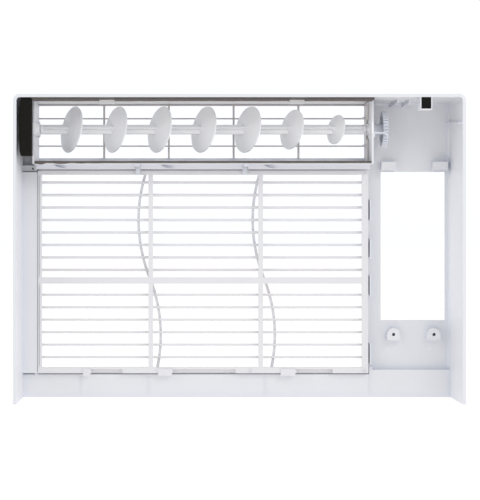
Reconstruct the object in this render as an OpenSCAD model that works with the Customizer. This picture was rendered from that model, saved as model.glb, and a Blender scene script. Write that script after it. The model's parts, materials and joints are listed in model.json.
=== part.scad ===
// Front panel assembly of a window air conditioner: an open-backed bezel that caps
// the cabinet, with a swing-disc air outlet above and a tilting intake grille below.
// The front looks towards -Y, +Z is up, and the origin is the middle of the base.
// Depths are measured forwards from the rear rim.

/* [Panel] */
// Width across the side walls
panel_w = 560; // [558:1:600]
// Height from the lower edges to the top wall
panel_h = 384; // [384:1:390]
// Depth from the rear rim to the front face
panel_d = 95; // [95:1:100]
// Thickness of the side walls and the top wall
wall_t = 4; // [3:0.5:4]
// Thickness of the front face
face_t = 3; // [2.5:0.5:3.5]
// Radius where the walls meet the front face, outside
edge_r = 9; // [8:1:12]
// Radius of the two upper corners, outside
corner_r = 8; // [6:1:10]

/* [Air outlet] */
// Height of the duct floor's upper face
duct_floor_z = 300.5; // [299:0.5:301]
// Depth at which the duct walls start
duct_rear = 27; // [24:1:27]
// Height of the vane shaft's axis
shaft_z = 343.6; // [343:0.1:344]
// Depth of the vane shaft's axis
shaft_depth = 56; // [55:0.5:56]
// Diameter of the five large vane discs
disc_d = 60; // [50:1:60]
// Distance from one vane disc to the next
disc_pitch = 56.1; // [54:0.1:56.1]
// Tilt of each vane disc from square to the shaft
disc_tilt = -30.6; // [-35:0.1:35]
// Turn of the vane shaft about its axis at rest
shaft_turn = 18.3; // [0:0.1:45]
// Number of teeth on the drive gear
gear_teeth = 35; // [30:1:35]
// Gap around each shaft journal and hinge pin
running_gap = 0.05; // [0.02:0.01:0.1]

/* [Air intake] */
// Lower edge of the intake opening
intake_z0 = 30.1; // [30:0.1:31]
// Upper edge of the intake opening
intake_z1 = 295.6; // [295:0.1:296]
// Height of the top slat's axis
slat_top_z = 277.2; // [276:0.1:278]
// Distance from one slat to the next
slat_pitch = 16.14; // [15:0.01:16.2]
// Number of slats
slat_count = 15; // [5:1:15]
// Slope of the slats, down towards the front
slat_tilt = 8; // [0:1:12]
// How far each wave rib swings to the side
wave_swing = 14.4; // [8:0.1:18]

/* [Control opening] */
// Width of the control opening
control_w = 83; // [70:1:83]
// Height of the control opening
control_h = 192; // [150:1:192]
// Distance between the two control panel screws
boss_spacing = 52; // [40:1:55]
// Diameter of the screw holes
boss_hole_d = 4.2; // [3:0.1:5]

/* [Hidden] */
$fn = 64;

half_w = panel_w / 2;
rear_y = panel_d / 2;
in_x = half_w - wall_t;            // inner face of a side wall
in_z = panel_h - wall_t;           // inner face of the top wall
in_depth = panel_d - face_t;       // inner face of the front face
inner_edge_r = 3;                  // where the walls meet the front face, inside
rail_rear = 84;                    // rear of the hollow rail along the lower edge
rail_t = 1.6;

// Duct: inner faces of its two walls, the idle end at +X and the drive end at -X
duct_x0 = -167;
duct_x1 = 256;
duct_t = 2.5;
floor_t = 1.5;
outlet_z0 = 309;
outlet_z1 = 378.2;
bar_rows = [325.25, 343.05, 360.85, 378.2];   // upper edges of the outlet's bars
bar_t = 1.5;
lug_tops = [bar_rows[0], bar_rows[2]];   // of the lugs on the drive-end wall
cheek_t = 2.2;
clip_xs = [165, -73];
slot_h = 14;                       // slots that the bearings slide into
slot_depth = shaft_depth + 9;

// Vane shaft
shaft_y = rear_y - shaft_depth;
shaft_x0 = -162.6;
shaft_x1 = 250.4;
shaft_over = 12.4;                 // across the ribs of the cross section
shaft_rib = 2.4;
idle_journal_d = 6;
drive_journal_d = 9;
disc_x1 = 211.3;                   // first disc, next to the idle end
disc_diameters = [disc_d, disc_d, disc_d, disc_d, disc_d, 51.5, 38];
disc_rim = 1.8;
disc_hub = 12;

// Drive gear
gear_module = 1.25;
gear_x0 = -189;
gear_x1 = -183;
gear_pitch_r = gear_module * gear_teeth / 2;
gear_tip_r = gear_pitch_r + gear_module;
gear_root_r = gear_pitch_r - 1.25 * gear_module;

// Intake opening and the tilting grille
intake_x0 = -171;
intake_x1 = 256.7;
hinge_depth = 91.5;
hinge_z = intake_z0 + 3.5;
hinge_bar_r = 3;
hinge_pin_r = 2;
grille_x0 = intake_x0 + 0.7;
grille_x1 = intake_x1 - 0.7;
grille_rear = 84;
grille_front = hinge_depth + hinge_bar_r;
grille_front_y = rear_y - grille_front;
grille_z1 = intake_z1 - 0.6;
grille_frame = 2.5;
filter_rear = 75;
filter_front = 82;
filter_x0 = -168.6;
filter_x1 = 256;
filter_z0 = intake_z0 + 1.5;
filter_z1 = 291.8;
filter_bar_xs = [111, -30.6];
filter_pin_places = [[-165, 289.3], [-163.4, 34.6], [-16.9, 34.6]];
notch_xs = [[147.4, 188.8], [1.9, 83.9], [-123.2, -74.8]];
clip_widths = [9.4, 17.7, 18.7];   // of the carrier clip at each notch's higher end
side_tab_zs = [[42.6, 69.9], [131.6, 157.1], [180.5, 204.2], [228.7, 255.1]];

// Apron under the duct floor, with thicker spans that run out in a curve towards -X
apron_rear = 65;
apron_z = 293.7;
thick_spans = [[235, 256.5], [98.9, 123.8], [-32.5, -13.5]];
thick_rear = 60;
runout = 15.4;
runout_r = 24.3;
latch_xs = [127.2, -10.1];
latch_w = 6;

// Control opening
control_x0 = -270;
control_z0 = 99.1;
boss_x = -228.2;
boss_z = 81.1;
boss_rear = 80;
pin_hole_x = 263;                  // locating hole in the corner block by the duct
pin_hole_z = 294.8;
plug_x0 = -237.1;
plug_x1 = -224.8;
plug_z0 = 365.6;

white = [0.90, 0.90, 0.91];
warm_white = [0.84, 0.83, 0.82];
foam_dark = [0.16, 0.16, 0.14];

// A block from x[0] to x[1], between two depths behind the rim, from z[0] to z[1]
module slab(x, depth, z) {
    translate([x[0], rear_y - depth[1], z[0]])
        cube([x[1] - x[0], depth[1] - depth[0], z[1] - z[0]]);
}

// A cylinder along X, at a depth and a height
module bar_x(x, depth, z, r) {
    translate([x[0], rear_y - depth, z]) rotate([0, 90, 0]) cylinder(h = x[1] - x[0], r = r);
}

// A cylinder along Y, between two depths
module bar_y(x, depth, z, r) {
    translate([x, rear_y - depth[0], z]) rotate([90, 0, 0])
        cylinder(h = depth[1] - depth[0], r = r);
}

// The waste outside a round corner of radius r at the origin
module corner_waste(r) {
    difference() {
        translate([-1, -1]) square(r + 1);
        translate([r, r]) circle(r);
    }
}

// A rectangle with a radius for each corner, anticlockwise from the low one
module outline(lo, hi, radii) {
    corners = [lo, [hi.x, lo.y], hi, [lo.x, hi.y]];
    difference() {
        translate(lo) square(hi - lo);
        for (i = [0:3]) if (radii[i] > 0)
            translate(corners[i]) rotate(90 * i) corner_waste(radii[i]);
    }
}

// A solid as wide, high and deep as the panel less the given insets, with round
// upper corners and round front edges: one profile for each direction of view
module panel_form(side, top, front, rc, re) {
    w = half_w - side;
    z1 = panel_h - top;
    y0 = front - rear_y;
    intersection() {
        translate([0, rear_y + 1, 0]) rotate([90, 0, 0]) linear_extrude(panel_d + 2)
            outline([-w, -side], [w, z1], [0, 0, rc, rc]);
        translate([0, 0, -side]) linear_extrude(panel_h + 2 * side)
            outline([-w, y0], [w, rear_y + side], [re, re, 0, 0]);
        rotate([90, 0, 90]) translate([0, 0, -half_w]) linear_extrude(panel_w)
            outline([y0, -side], [rear_y + side, z1], [0, 0, 0, re]);
    }
}

// A screw boss with a round top, behind the front face
module screw_boss(x) {
    bar_y(x, [boss_rear, in_depth + 0.5], boss_z, 8.2);
    slab([x - 8.2, x + 8.2], [boss_rear, in_depth + 0.5], [boss_z - 7, boss_z]);
}

// Stiffening ribs and small walls that stand on the inside of the bezel
module bezel_ribs() {
    for (x = [-200.5, -215.9])
        slab([x - 0.8, x + 0.8], [30, in_depth + 0.5], [375.5, in_z + 0.5]);
    for (z = side_tab_zs)
        slab([intake_x0 - 1.6, intake_x0 - 0.1], [76, in_depth + 0.5], z);
    slab([intake_x1 + 0.6, in_x + 0.5], [80, in_depth + 0.5], [291.5, duct_floor_z - floor_t]);
    // A sloping ledge along the side wall
    translate([-in_x - 0.5, rear_y - in_depth - 0.5, 354]) rotate([-4.3, 0, 0]) cube([4.5, 88, 1.6]);
    // Lugs on the duct wall, level with the outlet's bars
    for (top = lug_tops)
        slab([duct_x0 - 0.5, duct_x0 + 6], [70, 86.5], [top - bar_t, top]);
}

// The hollow rail along the lower edge, open below, with shallow ribs on its rear
module lower_rail() {
    for (part = [[-in_x - 0.5, -171.7, 35.4], [-171.7, in_x + 0.5, 29.4]]) difference() {
        slab([part[0], part[1]], [rail_rear, in_depth + 0.5], [0, part[2]]);
        slab([part[0] + rail_t, part[1] - rail_t], [rail_rear + rail_t, in_depth], [-1, part[2] - rail_t]);
    }
    for (x = [200.8, 113.6, -36.9, -171.7])
        slab([x - 0.8, x + 0.8], [rail_rear - 1, rail_rear + 0.5], [4.3, 26.2]);
}

// The hollow pillar between the intake opening and the side wall, open at the top
module side_pillar() {
    difference() {
        slab([intake_x1, in_x + 0.5], [76, in_depth + 0.5], [filter_z0, 290.4]);
        slab([intake_x1 + rail_t, in_x + 1], [76 + rail_t, in_depth], [filter_z0 + rail_t, 291]);
    }
}

// A low wall under the duct floor, with gaps for the two latches
module apron() {
    top = duct_floor_z - floor_t + 0.5;
    gap = latch_w / 2 + 0.4;
    edges = [duct_x1 + duct_t, latch_xs[0], latch_xs[1], duct_x0 - duct_t - gap];
    for (i = [0:2])
        slab([edges[i + 1] + gap, edges[i] - (i == 0 ? 0 : gap)], [apron_rear, apron_rear + 1.6],
             [apron_z, top]);
    for (span = thick_spans) {
        x0 = span[0] - runout;
        difference() {
            slab([x0, span[1]], [thick_rear, apron_rear + 0.5], [apron_z, top]);
            bar_y(x0, [thick_rear - 1, apron_rear], apron_z + 0.6 + runout_r, runout_r);
        }
    }
}

// The duct's ceiling falls slightly towards the outlet's upper edge
module duct_ceiling() {
    ceiling_rear = 50;
    front = in_depth + 0.5;
    translate([duct_x0 - 0.5, rear_y, 0]) rotate([90, 0, 90]) linear_extrude(duct_x1 - duct_x0 + 1)
        polygon([[-ceiling_rear, in_z], [-front, outlet_z1], [-front, in_z + 0.5],
                 [-ceiling_rear, in_z + 0.5]]);
}

// The moulded socket under the top wall that holds the foam plug
module plug_socket() {
    difference() {
        slab([plug_x0 - 1.2, plug_x1 + 1.2], [0.5, 20], [plug_z0 - 1.2, in_z + 0.5]);
        slab([plug_x0, plug_x1], [0, 18.8], [plug_z0, in_z]);
    }
}

// An ear behind the front face that carries one hinge pin
module hinge_ear(x) {
    slab([x, x + 4], [rail_rear, in_depth + 0.5], [intake_z0 - 3, hinge_z + 6]);
}

module front_bezel() color(white) {
    difference() {
        union() {
            difference() {
                intersection() {
                    panel_form(0, 0, 0, corner_r, edge_r);
                    slab([-half_w, half_w], [0, panel_d], [0, panel_h]);
                }
                panel_form(wall_t, wall_t, face_t, corner_r - wall_t, inner_edge_r);
            }
            // Duct: two walls and a floor between the rear opening and the front face
            for (x = [duct_x0 - duct_t, duct_x1])
                slab([x, x + duct_t], [duct_rear, in_depth + 0.5], [duct_floor_z - 1, in_z + 0.5]);
            slab([duct_x0 - duct_t, duct_x1 + duct_t], [duct_rear, in_depth + 0.5],
                 [duct_floor_z - floor_t, duct_floor_z]);
            for (side = [-1, 1]) screw_boss(boss_x + side * boss_spacing / 2);
            for (x = [intake_x1, intake_x0 - 4]) hinge_ear(x);
            apron();
            duct_ceiling();
            lower_rail();
            side_pillar();
            bezel_ribs();
            plug_socket();
        }
        // Outlet, intake and control openings
        slab([duct_x0, duct_x1], [in_depth - edge_r, panel_d + 1], [outlet_z0, outlet_z1]);
        slab([intake_x0, intake_x1], [in_depth - 1, panel_d + 1], [intake_z0, intake_z1]);
        slab([control_x0, control_x0 + control_w], [in_depth - 1, panel_d + 1],
             [control_z0, control_z0 + control_h]);
        // Slots for the two bearings
        for (x = [duct_x0 - duct_t - 1, duct_x1 - 1])
            slab([x, x + duct_t + 2], [duct_rear - 1, slot_depth],
                 [shaft_z - slot_h / 2, shaft_z + slot_h / 2]);
        // Screw holes and hinge bores
        for (side = [-1, 1])
            bar_y(boss_x + side * boss_spacing / 2, [boss_rear - 1, in_depth + 1.5], boss_z,
                  boss_hole_d / 2);
        bar_y(pin_hole_x, [79, in_depth], pin_hole_z, 1.2);
        bar_x([intake_x0 - 3.2, intake_x0 + 1], hinge_depth, hinge_z, hinge_pin_r + running_gap);
        bar_x([intake_x1 - 1, intake_x1 + 3.2], hinge_depth, hinge_z, hinge_pin_r + running_gap);
    }
}

module outlet_grille() color(warm_white) {
    union() {
        for (top = bar_rows) slab([duct_x0, duct_x1], [87.5, panel_d], [top - bar_t, top]);
        for (x = [171.5, 87.7, 3.8, -80.1])
            slab([x - 1.2, x + 1.2], [87, panel_d], [outlet_z0, outlet_z1]);
    }
}

// The cheek on the drive-end wall, cut away round the bearing and the wall's lugs
module outlet_cheek() color(warm_white) {
    difference() {
        slab([duct_x0, duct_x0 + cheek_t], [53, 87], [outlet_z0 - 6, outlet_z1]);
        bar_x([duct_x0 - 1, duct_x0 + cheek_t + 1], shaft_depth, shaft_z, 13.2);
        for (top = lug_tops)
            slab([duct_x0 - 1, duct_x0 + 6], [69.8, 88], [top - bar_t - 0.2, top + 0.2]);
    }
}

// A bearing that slides along its slot from the rear; x is the duct wall's face
// inside the duct, and out is the way out of the duct, -1 or 1
module slide_bearing(x, out, flange_r, flange_t, bore_r) {
    web = out < 0 ? [x - duct_t, x] : [x, x + duct_t];
    inner = out < 0 ? [x, x + flange_t] : [x - flange_t, x];
    outer = out < 0 ? [x - duct_t - 1.2, x - duct_t] : [x + duct_t, x + duct_t + 1.2];
    difference() {
        union() {
            slab(web, [duct_rear, slot_depth], [shaft_z - slot_h / 2, shaft_z + slot_h / 2]);
            bar_x(inner, shaft_depth, shaft_z, flange_r);
            slab(outer, [duct_rear + 12, slot_depth + 2],
                 [shaft_z - slot_h / 2 - 2, shaft_z + slot_h / 2 + 2]);
        }
        bar_x([min(inner[0], outer[0]) - 1, max(inner[1], outer[1]) + 1], shaft_depth, shaft_z, bore_r);
    }
}

module idle_bearing() color(white) {
    slide_bearing(duct_x1, 1, 10, 4.6, idle_journal_d / 2 + running_gap);
}

module drive_bearing() color(white) {
    slide_bearing(duct_x0, -1, 7.5, 3, drive_journal_d / 2 + running_gap);
}

// A finger behind the gear, with a curled end that keeps the gear on its shaft
module gear_retainer() color(white) {
    root_x = duct_x0 - duct_t;
    bend_x = -182.3;
    bend_z = 333;
    outer_r = 5.2;
    finger_t = 1.5;
    union() {
        slab([root_x - 1.5, root_x], [duct_rear, 38], [332, 339]);
        slab([bend_x, root_x], [duct_rear - 1, 31.5], [bend_z + outer_r - finger_t, bend_z + outer_r]);
        intersection() {
            difference() {
                bar_y(bend_x, [duct_rear - 1, 31.5], bend_z, outer_r);
                bar_y(bend_x, [duct_rear - 2, 33], bend_z, outer_r - finger_t);
            }
            slab([bend_x - 10, bend_x], [duct_rear - 2, 33], [bend_z - 2.6, bend_z + 10]);
        }
    }
}

// Hollow boxes behind the front face that the control panel's catches snap into,
// open below
module catch_pockets() color(white) {
    pocket_w = 19;
    pocket_t = 1.5;
    for (x = [control_x0 - 2, -205.2]) difference() {
        slab([x, x + pocket_w], [78, in_depth], [292.8, 303.8]);
        slab([x + pocket_t, x + pocket_w - pocket_t], [78 + pocket_t, in_depth + 1], [292, 302.3]);
    }
}

module foam_top_strip() color(foam_dark) {
    difference() {
        union() {
            slab([duct_x0 - 1, duct_x1 + 1.2], [5, duct_rear], [in_z - 3, in_z]);
            slab([duct_x0, duct_x1], [duct_rear - 1, 30], [in_z - 3, in_z]);
        }
        // Pressed thin above each clip
        for (x = clip_xs) slab([x - 9.6, x + 9.6], [4, 27.6], [in_z - 4, in_z - 1]);
    }
}

// The strip on the duct floor, folded down over the floor's rear edge
module foam_floor_strip() color(foam_dark) {
    top = duct_floor_z + 1.9;
    union() {
        slab([duct_x0, duct_x1], [duct_rear, 52], [duct_floor_z, top]);
        slab([duct_x0, duct_x1], [duct_rear - 1.8, duct_rear], [duct_floor_z - 1.3, top]);
    }
}

// The block that seals the corner between the duct and the cabinet, bowed outwards
module foam_side_block() color(foam_dark) {
    bow_r = 295;
    mid_z = 343.5;
    intersection() {
        slab([duct_x1 + 1.6, in_x], [4, 26.5], [307.3, in_z - 0.2]);
        bar_y(274.1 - bow_r, [3, 28], mid_z, bow_r, $fn = 720);
    }
}

module foam_plug() color(foam_dark)
    slab([plug_x0, plug_x1], [1, 18.8], [plug_z0, in_z]);

// Two hooked clips under the top wall that hold the foam strip up
module foam_clips() color(white) {
    for (x = clip_xs) union() {
        slab([x - 9.5, x + 9.5], [39.2, 47], [in_z - 5, in_z]);
        slab([x - 9.5, x + 9.5], [25.5, 40], [in_z - 5, in_z - 3.4]);
        slab([x - 9.5, x + 9.5], [25.5, 27.5], [in_z - 6.6, in_z - 1.1]);
    }
}

// Two tongues that stand down from the duct floor behind the grille's top rail
module door_latches() color(white) {
    for (x = latch_xs) union() {
        slab([x - latch_w / 2, x + latch_w / 2], [70, 72], [287.6, duct_floor_z - floor_t]);
        slab([x - latch_w / 2, x + latch_w / 2], [duct_rear + 1, 71],
             [duct_floor_z - floor_t - 2.2, duct_floor_z - floor_t]);
        slab([x - latch_w / 2, x + latch_w / 2], [71, 74.2], [287.6, 288.8]);
    }
}

// The shaft's cross section, with its ribs turned from the axes by turn
module cross_section(turn) {
    rotate(turn) for (a = [0, 90]) rotate(a)
        square([shaft_over, shaft_rib], center = true);
}

// Places children drawn with the shaft along Z so that it lies along X at its height
module on_shaft(x) {
    translate([x, shaft_y, shaft_z]) rotate([shaft_turn, 0, 0]) rotate([0, 90, 0]) children();
}

module vane_shaft() color(white) {
    union() {
        on_shaft(shaft_x0) linear_extrude(shaft_x1 - shaft_x0) cross_section(0);
        on_shaft(shaft_x1 - 1) cylinder(h = 9.6, d = idle_journal_d);
        on_shaft(gear_x0 - 2) cylinder(h = shaft_x0 - gear_x0 + 3, d = drive_journal_d);
        // Collars that keep the shaft in place between its bearings
        for (x = [shaft_x0, shaft_x1 - 2]) on_shaft(x) cylinder(h = 2, d = 12.6);
    }
}

// A lens-shaped disc on the tilted axis, cut out for the shaft
module vane_disc(index) {
    r = disc_diameters[index] / 2;
    rise = (disc_hub - disc_rim) / 2;
    difference() {
        on_shaft(disc_x1 - index * disc_pitch) rotate([disc_tilt, 0, 0])
            rotate_extrude($fn = 96) union() {
                polygon([[0, -disc_hub / 2], [r - disc_rim / 2, -disc_rim / 2],
                         [r - disc_rim / 2, disc_rim / 2], [0, disc_hub / 2]]);
                intersection() {
                    translate([r - disc_rim / 2, 0]) circle(disc_rim / 2);
                    translate([0, -disc_rim]) square([r + 1, 2 * disc_rim]);
                }
            }
        vane_shaft();
    }
}

// Teeth with straight flanks round the root circle
module gear_outline() {
    step = 360 / gear_teeth;
    union() {
        circle(gear_root_r, $fn = 96);
        for (i = [0:gear_teeth - 1]) rotate(i * step) polygon([
            for (p = [[gear_root_r - 0.5, -0.29], [gear_pitch_r, -0.25], [gear_tip_r, -0.14],
                      [gear_tip_r, 0.14], [gear_pitch_r, 0.25], [gear_root_r - 0.5, 0.29]])
                p[0] * [cos(p[1] * step), sin(p[1] * step)]
        ]);
    }
}

module drive_gear() color(white) {
    face_w = gear_x1 - gear_x0;
    hub_w = duct_x0 - duct_t - 2 - gear_x0;
    on_shaft(gear_x0) difference() {
        union() {
            linear_extrude(face_w) gear_outline();
            cylinder(h = hub_w, r = 7);
        }
        translate([0, 0, 2.5]) difference() {
            cylinder(h = face_w, r = gear_root_r - 2.6);
            translate([0, 0, -1]) cylinder(h = face_w + 2, r = 7);
        }
        translate([0, 0, -1]) cylinder(h = hub_w + 2, d = drive_journal_d);
    }
}

// One arc of a wave rib, as a flat ring sector: half a wave high, bulging towards side
module wave_arc(half_wave, swing, rib_w, side) {
    r = (half_wave * half_wave / 4 + swing * swing) / (2 * swing);
    intersection() {
        translate([side * (swing - r), half_wave / 2]) difference() {
            circle(r + rib_w / 2, $fn = 192);
            circle(r - rib_w / 2, $fn = 192);
        }
        translate([side < 0 ? -swing - rib_w : -rib_w, 0]) square([swing + 2 * rib_w, half_wave]);
    }
}

// A wave rib on the front of the slats: an S made of two arcs, and short run-outs
module wave_rib(x) {
    half_wave = 149.5;
    rib_w = 3.4;
    mid_z = 154.1;
    intersection() {
        translate([x, grille_front_y + 3, mid_z]) rotate([90, 0, 0]) linear_extrude(3) union() {
            wave_arc(half_wave, wave_swing, rib_w, 1);
            translate([0, half_wave]) rotate(180) mirror([0, 1]) wave_arc(half_wave, wave_swing, rib_w, 1);
            translate([0, -half_wave]) wave_arc(half_wave, wave_swing, rib_w, -1);
        }
        slab([grille_x0, grille_x1], [grille_rear, panel_d], [hinge_z, grille_z1]);
    }
}

// The tilting grille: a frame, its slats, two wave ribs and the round hinge bar
module intake_grille() color(white) {
    difference() {
        union() {
            bar_x([grille_x0, grille_x1], hinge_depth, hinge_z, hinge_bar_r);
            for (x = [grille_x0, grille_x1 - grille_frame])
                slab([x, x + grille_frame], [grille_rear, grille_front], [hinge_z, grille_z1]);
            slab([grille_x0, grille_x1], [grille_rear, grille_front], [grille_z1 - 3, grille_z1]);
            slab([grille_x0, grille_x1], [grille_rear, hinge_depth], [filter_z0, hinge_z + 2]);
            for (i = [0:slat_count - 1])
                translate([grille_x0 + 1, rear_y - 89.4, slat_top_z - i * slat_pitch])
                    rotate([slat_tilt, 0, 0]) translate([0, -5, -1.1])
                        cube([grille_x1 - grille_x0 - 2, 10, 2.2]);
            for (x = [112.6, -35.4]) wave_rib(x);
        }
        for (x = [grille_x0 - 1, grille_x1 - 6])
            bar_x([x, x + 7], hinge_depth, hinge_z, hinge_pin_r);
    }
}

// The carrier behind the slats: a frame with two upright bars, one crossbar and, along
// the idle end, a groove for the filter's edge
module filter_frame() color(white) {
    depth = [filter_rear, filter_front];
    difference() {
        union() {
            slab([filter_x0, filter_x0 + 7.6], depth, [filter_z0, filter_z1]);
            slab([filter_x1 - 4.8, filter_x1], depth, [filter_z0, filter_z1]);
            slab([filter_x0, filter_x1], depth, [filter_z0, 39.1]);
            slab([filter_x0, filter_x1], depth, [286.9, filter_z1]);
            for (x = filter_bar_xs) slab([x - 2.9, x + 2.9], depth, [filter_z0, filter_z1]);
            slab([filter_x0, filter_x1], depth, [147, 154.8]);
        }
        for (z = [[41, 146], [155.8, 285.5]])
            slab([filter_x1 - 2.4, filter_x1 - 0.9], [filter_rear - 1, filter_rear + 1.6], z);
        // Notches along the bottom rail
        for (x = notch_xs) slab(x, [filter_rear - 1, filter_front + 1], [filter_z0 - 1, 36.9]);
    }
}

// Clips at the end of each notch that tie the carrier to the grille
module filter_clips() color(white) {
    for (i = [0:2]) {
        x = notch_xs[i][1];
        union() {
            slab([x, x + clip_widths[i]], [filter_rear - 1.4, filter_rear], [28.4, 37.6]);
            slab([x - 1.2, x], [filter_rear - 1.4, filter_front], [filter_z0, 36.6]);
        }
    }
}

module filter_pins() color(white) {
    for (p = filter_pin_places) union() {
        bar_y(p[0], [filter_rear - 0.8, filter_rear], p[1], 2.4);
        bar_y(p[0], [filter_front, grille_rear], p[1], 1.6);
    }
}

module hinge_pins() color(white) {
    for (x = [[grille_x0, intake_x0], [grille_x1, intake_x1]]) union() {
        bar_x([min(x[1], x[0]) - 2.8, max(x[1], x[0]) + 2.8], hinge_depth, hinge_z, hinge_pin_r);
    }
}

front_bezel();
outlet_grille();
outlet_cheek();
idle_bearing();
drive_bearing();
gear_retainer();
catch_pockets();
foam_top_strip();
foam_floor_strip();
foam_side_block();
foam_plug();
foam_clips();
door_latches();
vane_shaft();
for (i = [0:len(disc_diameters) - 1])
    color(white) vane_disc(i);
drive_gear();
intake_grille();
filter_frame();
filter_clips();
filter_pins();
hinge_pins();
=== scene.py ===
"""Looks for the front panel assembly of a window air conditioner: materials, fine
moulded detail, stage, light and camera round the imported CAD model."""
import json
import math

import bmesh
import bpy
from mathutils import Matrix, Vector, noise


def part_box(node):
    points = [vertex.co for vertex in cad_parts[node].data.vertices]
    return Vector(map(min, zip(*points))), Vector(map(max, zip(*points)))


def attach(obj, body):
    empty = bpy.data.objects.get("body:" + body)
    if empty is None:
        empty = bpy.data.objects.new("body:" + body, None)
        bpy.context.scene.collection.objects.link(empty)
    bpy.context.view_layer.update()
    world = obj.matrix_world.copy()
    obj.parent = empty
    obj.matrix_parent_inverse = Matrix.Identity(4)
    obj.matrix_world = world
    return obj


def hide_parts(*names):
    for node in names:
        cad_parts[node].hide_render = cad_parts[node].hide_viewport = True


MM = 0.001

# Rounding of moulded edges, and how far the shaders look for edges and corners.
EDGE_ROUND = 0.35 * MM
EDGE_REACH = 0.8 * MM
CORNER_REACH = 12.0 * MM

# Spark-eroded grain of the mouldings, as noise scales and a bump depth.
FINE_GRAIN = 1400.0
COARSE_GRAIN = 308.0
GRAIN_DEPTH = 0.018 * MM

# Open cells of the foam, as a cell scale and a pit depth.
FOAM_CELLS = 900.0
PIT_DEPTH = 0.25 * MM

FOAM_NODES = ("foam_top_strip", "foam_floor_strip", "foam_side_block", "foam_plug")
# Moulded like the vanes, but painted greyer and cooler as shade.
SHADE_PAINTED_NODES = ("drive_gear", "door_latches", "gear_retainer")

# The floor strip's folded edge: its depth and height, and the stretch that is torn.
FOLD_DEPTH = 1.9 * MM
FOLD_HEIGHT = 1.6 * MM
TORN_LENGTH = 90.0
TORN_DROP = 3.2 * MM

# Ejector marks in mm: x, z and radius on the front face, and z on the side pillar.
FACE_THICKNESS = 3.0
MARK_RISE = 0.25
FACE_MARKS = ((-205.0, 340.0, 3.0), (-222.0, 331.0, 2.2), (-246.0, 318.0, 3.0),
              (-262.0, 367.0, 2.2), (-251.0, 62.0, 3.0), (-205.0, 62.0, 3.0),
              (-228.0, 50.0, 2.2))
PILLAR_X = 264.5
PILLAR_FROM_RIM = 76.0
PILLAR_MARKS = (200.6, 123.6)
PILLAR_MARK_RADIUS = 2.4

# Studio: the level at each end of a slice of directions, then where the slice lies.
OVERHEAD = (0.20, 0.50, 0.0, 1.0)
RIGHT = (0.0, 1.05, 0.25, 0.70)
LEFT = (1.15, 0.0, -0.75, -0.20)
BACKDROP = (0.85, 0.0, -0.97, -0.90)
BEHIND = (0.0, 0.10, 0.45, 0.80)

FLOOR_SIZE = 40.0
FLOOR_GLOW = 1.08
FLOOR_GLOW_SHARE = 0.82

KEY_PLACE = (-1.0, 2.3, 1.7)
KEY_AIM = (0.0, 0.0, 0.2)
KEY_SIZE = 0.9
KEY_POWER = 9.0

# Straight on from behind, 1850 mm from the rim.
CAMERA_PLACE = (79.1 * MM, 1897.5 * MM, 209.4 * MM)
CAMERA_LENS = 107.8
CAMERA_SENSOR = 36.0
CAMERA_SHIFT = (0.129, -0.030)

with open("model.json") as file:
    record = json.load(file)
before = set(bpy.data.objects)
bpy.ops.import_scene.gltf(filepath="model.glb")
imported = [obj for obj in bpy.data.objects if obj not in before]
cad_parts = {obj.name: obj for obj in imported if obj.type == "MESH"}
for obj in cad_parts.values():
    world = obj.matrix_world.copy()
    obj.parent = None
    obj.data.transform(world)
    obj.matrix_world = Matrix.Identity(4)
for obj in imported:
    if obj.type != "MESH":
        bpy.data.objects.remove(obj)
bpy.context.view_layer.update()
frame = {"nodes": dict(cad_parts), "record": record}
nodes = frame["nodes"]


# ---------------------------------------------------------------- node helpers
class Graph:
    """A small helper that adds and joins shader nodes."""

    # Where ShaderNodeMix keeps its colour sockets.
    MIX_FACTOR, MIX_A, MIX_B, MIX_RESULT = 0, 6, 7, 2

    def __init__(self, tree):
        self.tree = tree
        tree.nodes.clear()

    def add(self, kind, **sockets):
        node = self.tree.nodes.new(kind)
        for name, value in sockets.items():
            self.set(node, name.replace("_", " "), value)
        return node

    def set(self, node, name, value):
        """Links a socket value in, or sets a constant on the socket."""
        socket = node.inputs[name]
        if isinstance(value, bpy.types.NodeSocket):
            self.tree.links.new(value, socket)
        else:
            socket.default_value = value

    def coordinates(self, kind):
        return self.add("ShaderNodeTexCoord").outputs[kind]

    def noise(self, vector, scale, detail, roughness=0.55):
        node = self.add("ShaderNodeTexNoise", Scale=scale, Detail=detail, Roughness=roughness)
        self.set(node, "Vector", vector)
        return node.outputs["Fac"]

    def math(self, operation, *values):
        node = self.tree.nodes.new("ShaderNodeMath")
        node.operation = operation
        for socket, value in zip(node.inputs, values):
            self.tree.links.new(value, socket)
        return node.outputs[0]

    def span(self, value, low, high, from_low=0.0, from_high=1.0):
        node = self.add("ShaderNodeMapRange")
        self.set(node, "Value", value)
        self.set(node, "From Min", from_low)
        self.set(node, "From Max", from_high)
        self.set(node, "To Min", low)
        self.set(node, "To Max", high)
        return node.outputs["Result"]

    def edge_highlight_mask(self):
        """Near 1 where the surface turns sharply, 0 on flat stretches: the mask for the painted
        edge highlight.
        """
        soft = self.add("ShaderNodeBevel", Radius=EDGE_REACH)
        soft.samples = 6
        flat = self.add("ShaderNodeNewGeometry").outputs["True Normal"]
        turn = self.tree.nodes.new("ShaderNodeVectorMath")
        turn.operation = "DOT_PRODUCT"
        self.tree.links.new(soft.outputs["Normal"], turn.inputs[0])
        self.tree.links.new(flat, turn.inputs[1])
        return self.span(turn.outputs["Value"], 1.0, 0.0, 0.78, 0.97)

    def mix(self, factor, a, b):
        node = self.tree.nodes.new("ShaderNodeMix")
        node.data_type = "RGBA"
        for index, value in ((self.MIX_FACTOR, factor), (self.MIX_A, a), (self.MIX_B, b)):
            if isinstance(value, bpy.types.NodeSocket):
                self.tree.links.new(value, node.inputs[index])
            else:
                node.inputs[index].default_value = value
        return node.outputs[self.MIX_RESULT]

    def finish(self, shader, kind="ShaderNodeOutputMaterial"):
        """Joins a shader to the output, as a surface."""
        out = self.add(kind)
        self.tree.links.new(shader.outputs[0], out.inputs["Surface"])


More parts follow.
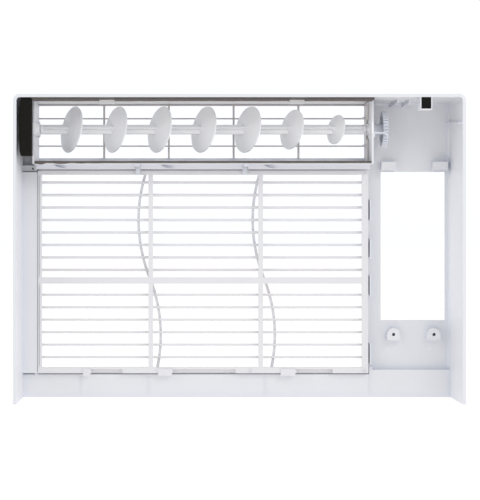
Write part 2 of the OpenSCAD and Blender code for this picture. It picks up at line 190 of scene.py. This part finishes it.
def new_material(name):
    material = bpy.data.materials.new(name)
    material.use_nodes = True
    return material, Graph(material.node_tree)


def rgba(colour, factor=1.0):
    """A colour made lighter or darker by a factor, with its alpha."""
    return (*(min(1.0, c * factor) for c in colour), 1.0)


# ---------------------------------------------------------------- materials
def moulded_plastic(name, colour, shade_and_dust_colour, rough=0.42):
    """Satin moulded plastic: fine spark-eroded grain, slow flow marks in the colour,
    faint haze in the gloss, a painted highlight on the edges, and painted shade and dust in the
    corners."""
    material, g = new_material(name)
    place = g.coordinates("Object")
    flow = g.noise(place, 9.0, 3.0)
    cloud = g.noise(place, 60.0, 2.0)
    base = g.mix(g.span(flow, 0.0, 1.0, 0.3, 0.7), rgba(colour, 0.982), rgba(colour))
    base = g.mix(g.span(cloud, 0.0, 0.35, 0.42, 0.75), base, rgba(colour, 1.012))
    corner = g.add("ShaderNodeAmbientOcclusion", Distance=CORNER_REACH)
    corner.samples = 8
    # Corners and recesses painted darker and cooler: partly settled dust, partly painted shade.
    dust_and_shade = g.span(corner.outputs["AO"], 0.55, 0.0, 0.25, 0.95)
    base = g.mix(dust_and_shade, base, rgba(shade_and_dust_colour))
    # Edges painted lighter: a painted highlight where they would catch the light.
    base = g.mix(g.edge_highlight_mask(), base, rgba(colour, 1.05))
    haze = g.noise(place, 35.0, 4.0)
    fine = g.noise(place, FINE_GRAIN, 2.0, 0.6)
    coarse = g.noise(place, COARSE_GRAIN, 2.0, 0.5)
    bump = g.add("ShaderNodeBump", Strength=0.5, Distance=GRAIN_DEPTH)
    g.set(bump, "Height", g.math("ADD", fine, g.span(coarse, 0.0, 0.5)))
    shader = g.add("ShaderNodeBsdfPrincipled", IOR=1.5)
    g.set(shader, "Base Color", base)
    g.set(shader, "Roughness", g.span(haze, rough - 0.05, rough + 0.06, 0.3, 0.7))
    g.set(shader, "Normal", bump.outputs["Normal"])
    g.finish(shader)
    return material


def cell_foam(name, colour, sheen):
    """Soft dark foam: open cells as pits, with greyer skins between them."""
    material, g = new_material(name)
    place = g.coordinates("Object")
    cells = g.tree.nodes.new("ShaderNodeTexVoronoi")
    cells.feature = "DISTANCE_TO_EDGE"
    g.set(cells, "Scale", FOAM_CELLS)
    g.set(cells, "Vector", place)
    skin = g.span(cells.outputs["Distance"], 1.0, 0.0, 0.0, 0.28)
    patches = g.noise(place, 110.0, 3.0)
    base = g.mix(skin, rgba(colour, 0.55), rgba(colour, 1.5))
    base = g.mix(g.span(patches, 0.0, 0.5, 0.35, 0.7), base, rgba(colour, 1.25))
    bump = g.add("ShaderNodeBump", Strength=0.8, Distance=PIT_DEPTH)
    g.set(bump, "Height", skin)
    shader = g.add("ShaderNodeBsdfPrincipled", Roughness=0.95, IOR=1.35, Sheen_Weight=sheen)
    g.set(shader, "Base Color", base)
    g.set(shader, "Normal", bump.outputs["Normal"])
    g.finish(shader)
    return material


# Moulded plastics: name, colour, colour painted into the corners as shade and dust, and roughness
# where it differs.
PLASTICS = (
    ("bezel_plastic", (0.814, 0.822, 0.842), (0.70, 0.745, 0.85)),
    # Darker, warmer grey than the bezel: partly its own tone, partly painted shade for the
    # back-lit bars and cheeks.
    ("outlet_plastic", (0.63, 0.595, 0.58), (0.47, 0.445, 0.43)),
    ("vane_plastic", (0.955, 0.957, 0.970), (0.86, 0.87, 0.89), 0.38),
    # A copy of the vane plastic, painted greyer and cooler as shade.
    ("shaded_plastic", (0.78, 0.80, 0.845), (0.62, 0.66, 0.74), 0.38),
    ("grille_plastic", (0.815, 0.808, 0.820), (0.72, 0.72, 0.745)),
    ("pin_plastic", (0.72, 0.72, 0.75), (0.55, 0.55, 0.58), 0.35),
)
# Foams: name, colour and sheen.
FOAMS = (
    ("block_foam", (0.007, 0.0065, 0.005), 0.0),
    ("strip_foam", (0.125, 0.110, 0.100), 0.15),
)
MATERIALS = {plastic[0]: moulded_plastic(*plastic) for plastic in PLASTICS}
MATERIALS.update({foam[0]: cell_foam(*foam) for foam in FOAMS})


# ---------------------------------------------------------------- pieces
def add_modifier(obj, name, kind, **settings):
    modifier = obj.modifiers.new(name, kind)
    for key, value in settings.items():
        setattr(modifier, key, value)


def dress_cad_nodes():
    """Every moulded CAD node gets a material and softly rounded edges."""
    slots = {s["node"]: s["material_slot"] for s in frame["record"]["subparts"]}
    for name, obj in nodes.items():
        if name in FOAM_NODES:
            continue
        # These parts take the vane plastic painted greyer and cooler as shade.
        look = "shaded_plastic" if name in SHADE_PAINTED_NODES else slots[name]
        obj.data.materials.clear()
        obj.data.materials.append(MATERIALS[look])
        add_modifier(obj, "merge_flat", "DECIMATE",
                     decimate_type="DISSOLVE", angle_limit=math.radians(1.0))
        add_modifier(obj, "soft_edges", "BEVEL",
                     width=EDGE_ROUND, segments=2, limit_method="ANGLE",
                     angle_limit=math.radians(40), use_clamp_overlap=True, harden_normals=False)
        add_modifier(obj, "shade", "WEIGHTED_NORMAL", keep_sharp=True, weight=60)
        for face in obj.data.polygons:
            face.use_smooth = True


def apply_modifiers(obj):
    depsgraph = bpy.context.evaluated_depsgraph_get()
    mesh = bpy.data.meshes.new_from_object(obj.evaluated_get(depsgraph))
    obj.modifiers.clear()
    obj.data = mesh


def foam_piece(name, node, material, voxel, rounding, wander, sag=None):
    """Cut foam in place of its plain solid: rounded arrises and an uneven skin."""
    source = nodes[node].data.copy()
    piece = bpy.data.objects.new(name, source)
    bpy.context.scene.collection.objects.link(piece)
    add_modifier(piece, "voxels", "REMESH", mode="VOXEL", voxel_size=voxel)
    apply_modifiers(piece)
    add_modifier(piece, "round", "SMOOTH", factor=0.5, iterations=rounding)
    apply_modifiers(piece)
    mesh = piece.data
    normals = [v.normal.copy() for v in mesh.vertices]
    for vertex, normal in zip(mesh.vertices, normals):
        at = vertex.co / MM
        swell = noise.noise(at * 0.06) * 0.7 + noise.noise(at * 0.35) * 0.3
        vertex.co += normal * ((swell - 0.7) * wander)
        if sag:
            sag(vertex)
    for face in mesh.polygons:
        face.use_smooth = True
    mesh.materials.clear()
    mesh.materials.append(MATERIALS[material])
    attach(piece, "panel")
    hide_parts(node)


def ragged_hem(vertex):
    """The floor strip's folded edge hangs torn over the last part near the idle end."""
    low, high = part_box("foam_floor_strip")
    fold = high[1] - FOLD_DEPTH
    if vertex.co.y > fold and vertex.co.z < low[2] + FOLD_HEIGHT:
        across = (high[0] - vertex.co.x) / MM
        torn = max(0.0, 1.0 - across / TORN_LENGTH)
        drop = max(0.0, noise.noise(Vector((across * 0.09, 3.7, 0.0))) + 0.25)
        vertex.co.z -= TORN_DROP * torn * drop


def make_foam():
    foam_piece("top_strip", "foam_top_strip", "strip_foam",
               voxel=0.9 * MM, rounding=2, wander=0.30 * MM)
    foam_piece("floor_strip", "foam_floor_strip", "strip_foam",
               voxel=0.9 * MM, rounding=2, wander=0.30 * MM, sag=ragged_hem)
    foam_piece("side_block", "foam_side_block", "block_foam",
               voxel=1.2 * MM, rounding=4, wander=0.55 * MM)
    foam_piece("plug", "foam_plug", "block_foam",
               voxel=0.8 * MM, rounding=3, wander=0.25 * MM)


def ejector_mark(bm, at, radius, height, segments=28):
    """A shallow round mark that stands off a wall facing +Y, with a dimple in it."""
    rings = ((radius, 0.0), (radius - height, height),
             (0.35 * radius, height), (0.3 * radius, 0.4 * height))
    turns = [2 * math.pi * i / segments for i in range(segments)]
    loops = [[bm.verts.new((at[0] + r * math.cos(turn), at[1] + rise, at[2] - r * math.sin(turn)))
              for turn in turns] for r, rise in rings]
    for inner, outer in zip(loops[1:], loops):
        for i in range(segments):
            j = (i + 1) % segments
            bm.faces.new((outer[i], outer[j], inner[j], inner[i]))
    bm.faces.new(loops[-1])
    bm.faces.new(list(reversed(loops[0])))


def moulding_marks():
    """Ejector marks on the inner side of the bezel's front face and on its side pillar."""
    low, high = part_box("front_bezel")
    face_y = low[1] + FACE_THICKNESS * MM
    pillar_y = high[1] - PILLAR_FROM_RIM * MM
    bm = bmesh.new()
    for x, z, radius in FACE_MARKS:
        ejector_mark(bm, (x * MM, face_y, z * MM), radius * MM, MARK_RISE * MM)
    for z in PILLAR_MARKS:
        ejector_mark(bm, (PILLAR_X * MM, pillar_y, z * MM), PILLAR_MARK_RADIUS * MM,
                     MARK_RISE * MM)
    bmesh.ops.recalc_face_normals(bm, faces=bm.faces)
    mesh = bpy.data.meshes.new("ejector_marks")
    bm.to_mesh(mesh)
    bm.free()
    piece = bpy.data.objects.new("ejector_marks", mesh)
    bpy.context.scene.collection.objects.link(piece)
    mesh.materials.append(MATERIALS["bezel_plastic"])
    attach(piece, "panel")


# ---------------------------------------------------------------- stage and light
def white_floor():
    """A pale floor that glows enough to read as the seamless white ground."""
    bpy.ops.mesh.primitive_plane_add(size=FLOOR_SIZE, location=(0.0, 0.0, 0.0))
    floor = bpy.context.object
    floor.name = "floor"
    material, g = new_material("floor_white")
    diffuse = g.add("ShaderNodeBsdfDiffuse", Color=rgba((0.9, 0.9, 0.9)))
    glow = g.add("ShaderNodeEmission", Color=(1.03, 1.0, 0.985, 1.0), Strength=FLOOR_GLOW)
    both = g.add("ShaderNodeMixShader", Fac=FLOOR_GLOW_SHARE)
    g.tree.links.new(diffuse.outputs[0], both.inputs[1])
    g.tree.links.new(glow.outputs[0], both.inputs[2])
    g.finish(both)
    floor.data.materials.append(material)


def soft_world():
    """White studio, brighter overhead and at both sides, with a bright backdrop at -Y."""
    world = bpy.data.worlds.new("studio")
    bpy.context.scene.world = world
    world.use_nodes = True
    g = Graph(world.node_tree)
    way = g.add("ShaderNodeSeparateXYZ", Vector=g.coordinates("Generated")).outputs
    sides = g.math("ADD", g.span(way["X"], *LEFT), g.span(way["X"], *RIGHT))
    ends = g.math("ADD", g.span(way["Y"], *BACKDROP), g.span(way["Y"], *BEHIND))
    level = g.math("ADD", g.math("ADD", g.span(way["Z"], *OVERHEAD), sides), ends)
    sky = g.add("ShaderNodeBackground", Color=(0.95, 0.985, 1.045, 1.0), Strength=level)
    g.finish(sky, "ShaderNodeOutputWorld")


def key_light():
    """One soft square lamp behind the panel, above and to one side."""
    data = bpy.data.lights.new("key", "AREA")
    data.shape = "RECTANGLE"
    data.size = data.size_y = KEY_SIZE
    data.energy = KEY_POWER
    data.color = (1.0, 0.985, 0.97)
    lamp = bpy.data.objects.new("key", data)
    bpy.context.scene.collection.objects.link(lamp)
    lamp.location = KEY_PLACE
    aim = Vector(KEY_AIM) - Vector(KEY_PLACE)
    lamp.rotation_euler = aim.to_track_quat("-Z", "Y").to_euler()


def photo_camera():
    data = bpy.data.cameras.new("camera")
    data.lens = CAMERA_LENS
    data.sensor_width = CAMERA_SENSOR
    data.shift_x, data.shift_y = CAMERA_SHIFT
    camera = bpy.data.objects.new("camera", data)
    bpy.context.scene.collection.objects.link(camera)
    camera.location = CAMERA_PLACE
    camera.rotation_euler = (math.radians(90), 0.0, math.radians(180))
    bpy.context.scene.camera = camera


dress_cad_nodes()
make_foam()
moulding_marks()
white_floor()
soft_world()
key_light()
photo_camera()
bpy.context.scene.view_settings.view_transform = "Standard"
